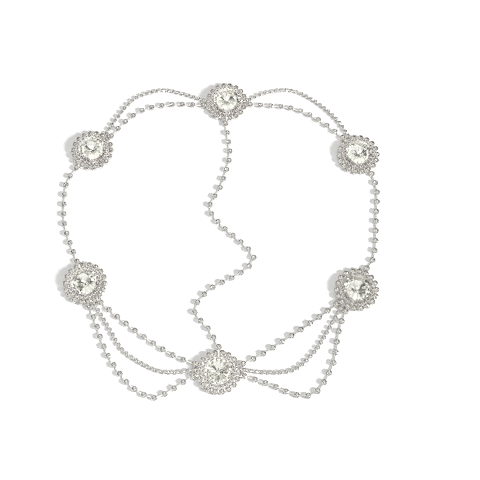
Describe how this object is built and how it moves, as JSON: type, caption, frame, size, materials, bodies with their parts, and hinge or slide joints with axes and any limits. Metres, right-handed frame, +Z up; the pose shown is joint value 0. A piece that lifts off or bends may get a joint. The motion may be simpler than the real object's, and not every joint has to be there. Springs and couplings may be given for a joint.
{
  "type": "hair chain",
  "caption": "Crystal hair chain laid flat: round medallions joined into a loop by cup chains, with one winding chain across it and double arcs and triple swags.",
  "frame": {"origin": "middle of the laid-out loop's box, on the surface that it lies on", "axes": "+X to the right, +Y from the bottom swags to the top arcs, +Z up from the surface"},
  "size_m": [0.2035, 0.2114, 0.0086],
  "materials": {
    "plated_metal": "bright silver-coloured plating",
    "main_crystal": "polished, faceted, foiled behind",
    "small_crystal": "polished, faceted, foiled behind"
  },
  "bodies": {
    "root": {"setting_top": "plated_metal", "setting_upper_left": "plated_metal", "setting_upper_right": "plated_metal", "setting_lower_left": "plated_metal", "setting_lower_right": "plated_metal", "setting_bottom": "plated_metal", "stone_top": "main_crystal", "stone_upper_left": "main_crystal", "stone_upper_right": "main_crystal", "stone_lower_left": "main_crystal", "stone_lower_right": "main_crystal", "stone_bottom": "main_crystal", "chain_top_left": "plated_metal", "chain_top_right": "plated_metal", "chain_left": "plated_metal", "chain_right": "plated_metal", "chain_centre": "plated_metal", "chain_left_swag_inner": "plated_metal", "chain_left_swag_outer": "plated_metal", "chain_right_swag_inner": "plated_metal", "chain_right_swag_outer": "plated_metal", "crystals_top_left": "small_crystal", "crystals_top_right": "small_crystal", "crystals_left": "small_crystal", "crystals_right": "small_crystal", "crystals_centre": "small_crystal", "crystals_left_swag_inner": "small_crystal", "crystals_left_swag_outer": "small_crystal", "crystals_right_swag_inner": "small_crystal", "crystals_right_swag_outer": "small_crystal", "fine_chain_top_left": "plated_metal", "fine_chain_top_right": "plated_metal", "fine_chain_left_swag": "plated_metal", "fine_chain_right_swag": "plated_metal"}
  },
  "joints": []
}
